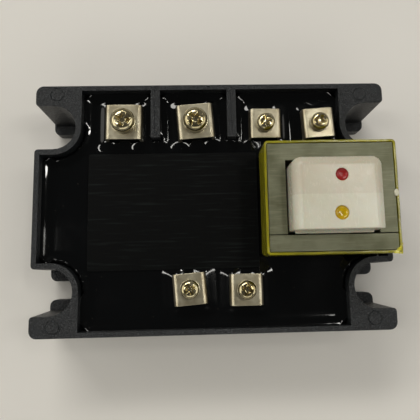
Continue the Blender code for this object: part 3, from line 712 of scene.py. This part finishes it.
def make_core(look):
    for node, name in (("transformer_core_e", "e_laminations"),
                       ("transformer_core_i", "i_laminations")):
        stack = from_node(node, name)
        soften(stack, 0.12, 2, 50)
        smooth(stack)
        finish_piece(stack, BODY, look, "silicon_steel", node)


def make_tape(look):
    """Turns of tape round the core, their edge standing a little proud and not quite straight."""
    low, high = (Vector(corner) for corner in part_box("core_tape"))
    centre = (low + high) / 2
    bpy.ops.mesh.primitive_plane_add(size=1.0, location=(centre.x, centre.y, low.z))
    band = bpy.context.object
    band.scale = (high.x - low.x, high.y - low.y, 1)
    select_only(band)
    bpy.ops.object.transform_apply(location=True, rotation=True, scale=True)
    start_edit(band, "VERT")
    bpy.ops.mesh.select_all(action="SELECT")
    bpy.ops.mesh.bevel(offset=1.1 * MM, segments=5, affect="VERTICES")
    bpy.ops.mesh.select_all(action="SELECT")
    bpy.ops.mesh.delete(type="ONLY_FACE")
    mesh = bmesh.from_edit_mesh(band.data)
    pick(band, mesh, "edges", lambda edge: edge.calc_length() > 5 * MM)
    bpy.ops.mesh.subdivide(number_cuts=24)
    bpy.ops.mesh.select_all(action="SELECT")
    layers = 16
    rise = (0, 0, (high.z - low.z) / layers)
    for _ in range(layers):
        bpy.ops.mesh.extrude_edges_move(TRANSFORM_OT_translate={"value": rise})
    bpy.ops.mesh.select_all(action="SELECT")
    bpy.ops.mesh.normals_make_consistent(inside=False)
    end_edit()
    ripple = bpy.data.textures.new("tape_ripple", "CLOUDS")
    ripple.noise_scale = 4.0 * MM
    wave = band.modifiers.new("ripple", "DISPLACE")
    wave.texture = ripple
    wave.texture_coords = "GLOBAL"
    wave.mid_level = 0.5
    wave.strength = 0.22 * MM
    wall = band.modifiers.new("turns", "SOLIDIFY")
    wall.thickness = 0.66 * MM
    wall.offset = -1.0
    apply_changes(band)
    soften(band, 0.08, 2, 50)
    place(band, "tape_band")
    smooth(band, 50)
    finish_piece(band, BODY, look, "yellow_tape", "core_tape")


def make_tape_tail(look):
    """The loose end of the tape, folded over the core's near right corner."""
    low, high = (Vector(corner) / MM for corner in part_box("core_tape"))
    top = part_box("transformer_core_i")[1][2] / MM
    bpy.ops.mesh.primitive_grid_add(x_subdivisions=8, y_subdivisions=8, size=1.0)
    tail = bpy.context.object
    tail.scale = (3.2 * MM, 3.4 * MM, 1)
    select_only(tail)
    bpy.ops.object.transform_apply(location=True, rotation=True, scale=True)
    mesh = start_edit(tail, "VERT")
    pick(tail, mesh, "verts", lambda vert: vert.co.x - vert.co.y < -0.3 * MM)
    bpy.ops.mesh.delete(type="VERT")
    mesh = start_edit(tail, "VERT")
    pick(tail, mesh, "verts", lambda vert: vert.co.x > 1.1 * MM)
    bpy.ops.transform.translate(value=(-0.2 * MM, 0, -0.5 * MM))
    end_edit()
    ripple = bpy.data.textures.new("tail_ripple", "CLOUDS")
    ripple.noise_scale = 1.6 * MM
    wave = tail.modifiers.new("ripple", "DISPLACE")
    wave.texture = ripple
    wave.texture_coords = "GLOBAL"
    wave.strength = 0.35 * MM
    wall = tail.modifiers.new("film", "SOLIDIFY")
    wall.thickness = 0.12 * MM
    apply_changes(tail)
    place(tail, "tape_tail", ((high.x - 1.2) * MM, (low.y + 1.45) * MM, (top + 0.3) * MM), -4)
    smooth(tail, 50)
    finish_piece(tail, BODY, look, "yellow_tape")


def rounded_cap(low, high):
    """Open box, softly rounded along its top and at its far end and crisp at its near end."""
    made = block(high - low, (high + low) / 2)
    mesh = start_edit(made, "FACE")
    pick(made, mesh, "faces", lambda face: face.normal.z < -0.9)
    bpy.ops.mesh.delete(type="FACE")
    end_edit()
    top = high.z * MM
    mesh = start_edit(made, "EDGE")
    pick(made, mesh, "edges", lambda edge: all(abs(v.co.z - top) < 0.01 * MM for v in edge.verts)
         and abs(edge.verts[0].co.x - edge.verts[1].co.x) < 0.01 * MM)
    bpy.ops.mesh.bevel(offset=COVER_SIDE_R * MM, segments=8)
    end_edit()
    for where, radius, segments in ((high.y, COVER_FAR_R, 8), (low.y, COVER_NEAR_R, 3)):
        mesh = start_edit(made, "EDGE")
        pick(made, mesh, "edges", lambda edge: not edge.is_boundary
             and all(abs(v.co.y - where * MM) < 0.01 * MM for v in edge.verts))
        bpy.ops.mesh.bevel(offset=radius * MM, segments=segments)
        end_edit()
    return made


def make_cover(look):
    low, high = (Vector(corner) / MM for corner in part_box("bobbin_cover"))
    cover = rounded_cap(low, high)
    wall = cover.modifiers.new("wall", "SOLIDIFY")
    wall.thickness = 1.1 * MM
    wall.offset = -1.0
    apply_changes(cover)
    for node in ("red_marker", "yellow_marker"):
        spot = centre_of(node)
        radius = (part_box(node)[1][0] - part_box(node)[0][0]) / 2 / MM + 0.04
        dimple = turned([(radius * 0.96, high.z - 0.95), (radius, high.z - 0.2),
                         (radius + 0.05, high.z - 0.08), (radius + 0.16, high.z + 0.01),
                         (radius + 0.25, high.z + 0.3)], 48)
        place(dimple, "dimple", (spot.x, spot.y, 0))
        combine(cover, dimple, "DIFFERENCE")
    core_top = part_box("transformer_core_e")[1][2] / MM
    lip = block((high.x - low.x - 2.8, 1.2, 0.8), ((low.x + high.x) / 2, low.y, core_top + 0.5))
    soften(lip, 0.15, 2, 50)
    join(cover, lip)
    place(cover, "coil_cap")
    smooth(cover, 40)
    finish_piece(cover, BODY, look, "ivory_nylon", "bobbin_cover")


def make_markers(red_look, yellow_look):
    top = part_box("bobbin_cover")[1][2] / MM
    for node, look, slot in (("red_marker", red_look, "red_resin"),
                             ("yellow_marker", yellow_look, "yellow_resin")):
        spot = centre_of(node)
        radius = (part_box(node)[1][0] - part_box(node)[0][0]) / 2 / MM
        rings = [(radius * 0.92, top - 0.93), (radius, top - 0.85), (radius + 0.02, top - 0.3)]
        for share, sink in ((0.93, 0.48), (0.8, 0.64), (0.6, 0.76), (0.35, 0.82), (0.1, 0.84)):
            rings.append((radius * share, top - sink))
        drop = turned(rings, 48)
        place(drop, f"{node}_drop", (spot.x, spot.y, 0))
        smooth(drop, 60)
        finish_piece(drop, BODY, look, slot, node)


def make_glue(look):
    """A drop of glue that holds the end of the tape."""
    low, high = (Vector(corner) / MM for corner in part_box("core_tape"))
    drop = turned([(0.5, -0.25), (0.95, 0.0), (0.85, 0.25), (0.5, 0.42), (0.15, 0.48)], 24)
    drop.scale = (0.8, 1.15, 1.0)
    place(drop, "glue_drop", ((high.x - 0.7) * MM, 1.0 * MM, (high.z - 0.1) * MM))
    lumps = bpy.data.textures.new("glue_lumps", "CLOUDS")
    lumps.noise_scale = 0.8 * MM
    rough = drop.modifiers.new("lumps", "DISPLACE")
    rough.texture = lumps
    rough.texture_coords = "GLOBAL"
    rough.strength = 0.3 * MM
    rounding = drop.modifiers.new("rounding", "SUBSURF")
    rounding.levels = rounding.render_levels = 1
    apply_changes(drop)
    smooth(drop, 60)
    finish_piece(drop, BODY, look, "ivory_nylon")


# ---------------------------------------------------------------- buried pieces

def dress_buried_pieces():
    """Every CAD node that stays gets its own material."""
    copper = plain_finish("rolled_copper", "c77b52", "a85f3c", 0.3, 1.0, 3.0)
    wire = plain_finish("enamelled_wire", "8c3a1c", "a64a22", 0.3, 0.6, 0.6)
    nylon = plain_finish("nylon_bobbin", "d6cfb2", "c7bf9f", 0.45, 0.0, 4.0)
    tin = plain_finish("tinned_copper", "bdb9ae", "9d998e", 0.3, 1.0, 0.8)
    chip = plain_finish("moulded_chip_epoxy", "1b1b1c", "252527", 0.45, 0.0, 0.6)
    resistor = plain_finish("resistor_lacquer", "9a8a62", "85764f", 0.45, 0.0, 1.5)
    looks = {
        "bobbin": nylon, "primary_winding": wire, "secondary_winding": wire,
        "copper_pad_line": copper, "copper_pad_load": copper, "thyristor_clip": copper,
        "transformer_pin": tin, "optocoupler": chip, "control_chip": chip, "logic_driver": chip,
        "bridge_rectifier": chip, "bleed_resistor": resistor, "sense_resistor": resistor,
        "snubber_resistor": plain_finish("cement_resistor", "7b8781", "68736d", 0.6, 0.0, 1.2),
        "snubber_capacitor": plain_finish("dipped_film_capacitor", "a8752a", "93631f", 0.35,
                                          0.0, 2.0),
        "filter_capacitor": plain_finish("capacitor_sleeve", "232c4c", "1a223c", 0.35, 0.0, 2.0),
        "varistor": plain_finish("dipped_varistor", "27508f", "1f4279", 0.4, 0.0, 2.0),
        "circuit_board": plain_finish("glass_epoxy_board", "1c5b35", "174c2c", 0.4, 0.0, 1.5),
        "ceramic_substrate": plain_finish("alumina_tile", "e4e0d6", "d6d2c6", 0.5, 0.0, 3.0),
        "thyristor_chip": plain_finish("silicon_die", "3c3f49", "2c2f38", 0.2, 0.4, 2.0),
        "silicone_gel": plain_finish("clear_gel", "c3c8c8", "b6bcbc", 0.1, 0.0, 8.0),
    }
    for name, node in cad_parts.items():
        for start, look in looks.items():
            if name.startswith(start) and name != "bobbin_cover":
                for slot in node.material_slots:
                    slot.material = look


# ---------------------------------------------------------------- room, light and camera

FLOOR_HEX = "e4e1dc"
WALL_TOP, CEILING_START = 0.6, 0.86   # heights on a unit dome: the pale walls end, the dark starts
WALL_POWER, CEILING_POWER = 0.2, 0.05


def make_floor():
    bpy.ops.mesh.primitive_plane_add(size=3.0, location=(0, 0, 0))
    floor = bpy.context.object
    floor.name = "table_top"
    made, tree, shader = new_material("pale_table", FLOOR_HEX, 0.6)
    clouds = grain(tree, 220.0, detail=1.0)
    colour = tint(tree, spread(tree, clouds.outputs["Fac"], 0.3, 0.7), "e6e3dd", "e0ddd6")
    tree.links.new(colour, shader.inputs["Base Color"])
    floor.data.materials.append(made)


def add_light(name, azimuth, elevation, distance, size, power, colour):
    """A soft panel that faces the part from that bearing: 0 is the near side, 90 the right."""
    lamp = bpy.data.lights.new(name, "AREA")
    lamp.shape = "RECTANGLE"
    lamp.size, lamp.size_y = size
    lamp.energy = power
    lamp.color = linear(colour)[:3]
    item = bpy.data.objects.new(name, lamp)
    bpy.context.scene.collection.objects.link(item)
    bearing, height = math.radians(azimuth), math.radians(elevation)
    away = Vector((math.sin(bearing) * math.cos(height), -math.cos(bearing) * math.cos(height),
                   math.sin(height)))
    item.location = away * distance
    item.rotation_euler = away.to_track_quat("Z", "Y").to_euler()


def make_lights():
    """A pale room, dark straight above: a far window, broad walls and three small bright lamps."""
    world = bpy.data.worlds.new("room")
    bpy.context.scene.world = world
    world.use_nodes = True
    tree = world.node_tree
    back = tree.nodes["Background"]
    facing = add_node(tree, "ShaderNodeTexCoord")
    height = add_node(tree, "ShaderNodeSeparateXYZ", links={"Vector": facing.outputs["Generated"]})
    power = spread(tree, height.outputs["Z"], WALL_TOP, CEILING_START, WALL_POWER, CEILING_POWER)
    back.inputs["Color"].default_value = linear("f2f1ec")
    tree.links.new(power, back.inputs["Strength"])
    add_light("far_window", 202, 50, 2.0, (1.0, 0.35), 13.2, "fffcf6")
    add_light("left_wall", 268, 38, 1.6, (1.4, 0.8), 5.6, "fffbf4")
    add_light("right_wall", 85, 38, 1.6, (1.4, 0.8), 4.6, "fffbf4")
    add_light("near_wall", 5, 45, 2.0, (1.8, 0.8), 4.8, "fffbf4")
    add_light("left_tube", 262, 66, 1.5, (0.07, 0.4), 1.4, "fffdf6")
    add_light("right_tube", 98, 66, 1.5, (0.07, 0.4), 1.4, "fffdf6")
    add_light("far_lamp", 125, 71, 1.5, (0.14, 0.06), 1.0, "fffdf6")


CAMERA_PLACE = (-3.87, -18.10, 211.68)
CAMERA_AXES = ((0.9989, 0.0146, -0.0448), (-0.0224, 0.9837, -0.1781), (0.0414, 0.1789, 0.983))
CAMERA_LENS = 52.9
CAMERA_SHIFT = (-0.0403, -0.1293)


def make_camera():
    data = bpy.data.cameras.new("camera")
    data.sensor_width = 36.0
    data.lens = CAMERA_LENS
    data.shift_x, data.shift_y = CAMERA_SHIFT
    data.clip_start, data.clip_end = 0.01, 10.0
    camera = bpy.data.objects.new("camera", data)
    bpy.context.scene.collection.objects.link(camera)
    stand = Matrix.Translation(Vector(CAMERA_PLACE) * MM)
    camera.matrix_world = stand @ Matrix(CAMERA_AXES).to_4x4()
    bpy.context.scene.camera = camera
    bpy.context.scene.view_settings.view_transform = "Standard"


def main():
    make_camera()
    make_case(case_plastic())
    make_base(rolled_aluminium())
    make_epoxy(cast_epoxy())
    make_label(label_film())
    make_terminals(plated_metal("nickel_plated_brass", "cfc7ae", "ab9f82", 0.31, 1.1),
                   plated_metal("plated_spring_steel", "b9b29a", "8f876c", 0.3, 0.5),
                   plated_metal("nickel_plated_steel", "c6bb98", "998b64", 0.18, 0.9))
    make_core(lamination_steel())
    make_tape(polyester_tape("wound_polyester_tape", "736e0a", "9f9715"))
    make_tape_tail(polyester_tape("folded_polyester_tape", "b3a90c", "d6cc22"))
    cream = ivory_nylon()
    make_cover(cream)
    make_markers(marker_resin("red_resin_drop", "8a0e0a", "a5160f", 0.3),
                 marker_resin("yellow_resin_drop", "b08c06", "caa80e", 0.12))
    make_glue(plain_finish("dried_glue", "e2dfc9", "d2cfb5", 0.25, 0.0, 0.8))
    dress_buried_pieces()
    make_floor()
    make_lights()


main()
